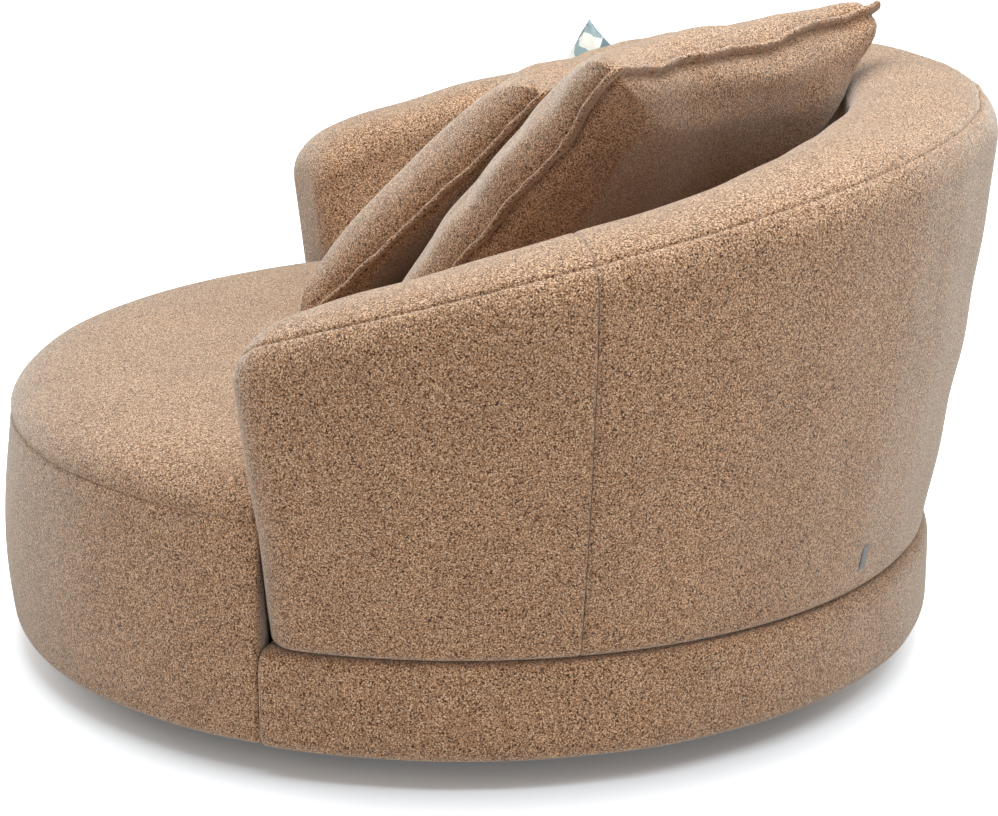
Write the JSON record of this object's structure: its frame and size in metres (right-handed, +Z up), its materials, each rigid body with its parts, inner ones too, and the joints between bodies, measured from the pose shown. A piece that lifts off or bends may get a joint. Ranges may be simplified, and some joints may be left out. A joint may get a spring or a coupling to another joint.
{
  "type": "swivel cuddle chair",
  "caption": "Round swivel love seat: full-height drum seat at the open front, wrap-around upholstered back with falling arms on a low plinth, loose leaning cushions.",
  "frame": {"origin": "on the floor, at the swivel's axis, which is the centre of the round base", "axes": "+Z up; -Y is the open front, +Y the middle of the back; +X is the sitter's left-hand arm, the one nearer the camera in the picture"},
  "size_m": [1.4536, 1.413, 0.8904],
  "materials": {
    "boucle": "matt looped boucle, warm camel brown",
    "foam": "matt cut foam, cream",
    "fibre": "matt fibre-filled inner, off white",
    "plywood": "raw birch plywood",
    "beech": "raw sawn hardwood",
    "fibreboard": "thin hardboard",
    "zinc_steel": "zinc-plated steel, satin",
    "black_plastic": "black moulded plastic",
    "black_cloth": "black non-woven lining",
    "webbing": "woven elastic webbing",
    "grey_tape": "plain grey woven tape",
    "scatter_cloth": "printed plain-weave cloth in grey-teal, cream, ochre and dusty pink",
    "zip_plastic": "moulded zip teeth and tape, brown"
  },
  "bodies": {
    "foot": {"glide_centre": "black_plastic", "glide_1": "black_plastic", "glide_2": "black_plastic", "glide_3": "black_plastic", "glide_4": "black_plastic", "glide_5": "black_plastic", "glide_6": "black_plastic", "foot_disc": "plywood", "swivel_lower_plate": "zinc_steel", "swivel_ball_cage": "zinc_steel"},
    "seat": {"swivel_upper_plate": "zinc_steel", "base_panel": "plywood", "seat_box_wall": "plywood", "seat_deck": "plywood", "crate_long_1": "plywood", "crate_long_2": "plywood", "crate_cross_1": "plywood", "crate_cross_2": "plywood", "plinth_hoop": "plywood", "plinth_deck": "plywood", "strap_long_1": "webbing", "strap_long_2": "webbing", "strap_long_3": "webbing", "strap_cross_1": "webbing", "strap_cross_2": "webbing", "strap_cross_3": "webbing", "dust_cover": "black_cloth", "seat_cover_side": "boucle", "seat_cover_top": "boucle", "seat_foam": "foam", "seat_front_foam": "foam", "plinth_cover": "boucle", "plinth_foam": "foam", "shell_bottom_rail": "plywood", "shell_top_rail": "plywood", "shell_post_1": "beech", "shell_post_2": "beech", "shell_post_3": "beech", "shell_post_4": "beech", "shell_post_5": "beech", "shell_post_6": "beech", "shell_post_7": "beech", "shell_outer_panel": "fibreboard", "shell_foam": "foam", "shell_cover_back": "boucle", "shell_cover_arm_right": "boucle", "shell_cover_arm_left": "boucle", "sewn_tab": "grey_tape"},
    "near_cushion": {"near_cushion_cover": "boucle", "near_cushion_zip": "zip_plastic", "near_cushion_insert": "fibre"},
    "far_cushion": {"far_cushion_cover": "boucle", "far_cushion_zip": "zip_plastic", "far_cushion_insert": "fibre"},
    "scatter_cushion": {"scatter_cushion_cover": "scatter_cloth", "scatter_cushion_zip": "zip_plastic", "scatter_cushion_insert": "fibre"}
  },
  "joints": [
    {"name": "swivel", "type": "hinge", "parent": "foot", "child": "seat", "pos_m": [0, 0, 0.032], "axis": [0, 0, 1], "continuous": true},
    {"name": "near_cushion_lift", "type": "slide", "parent": "seat", "child": "near_cushion", "axis": [0.4, 0.5, 0.7681], "range_m": [0, 0.2]},
    {"name": "far_cushion_lift", "type": "slide", "parent": "seat", "child": "far_cushion", "axis": [0.4, 0.5, 0.7681], "range_m": [0, 0.2]},
    {"name": "scatter_cushion_lift", "type": "slide", "parent": "seat", "child": "scatter_cushion", "axis": [0, 0, 1], "range_m": [0, 0.2]}
  ]
}
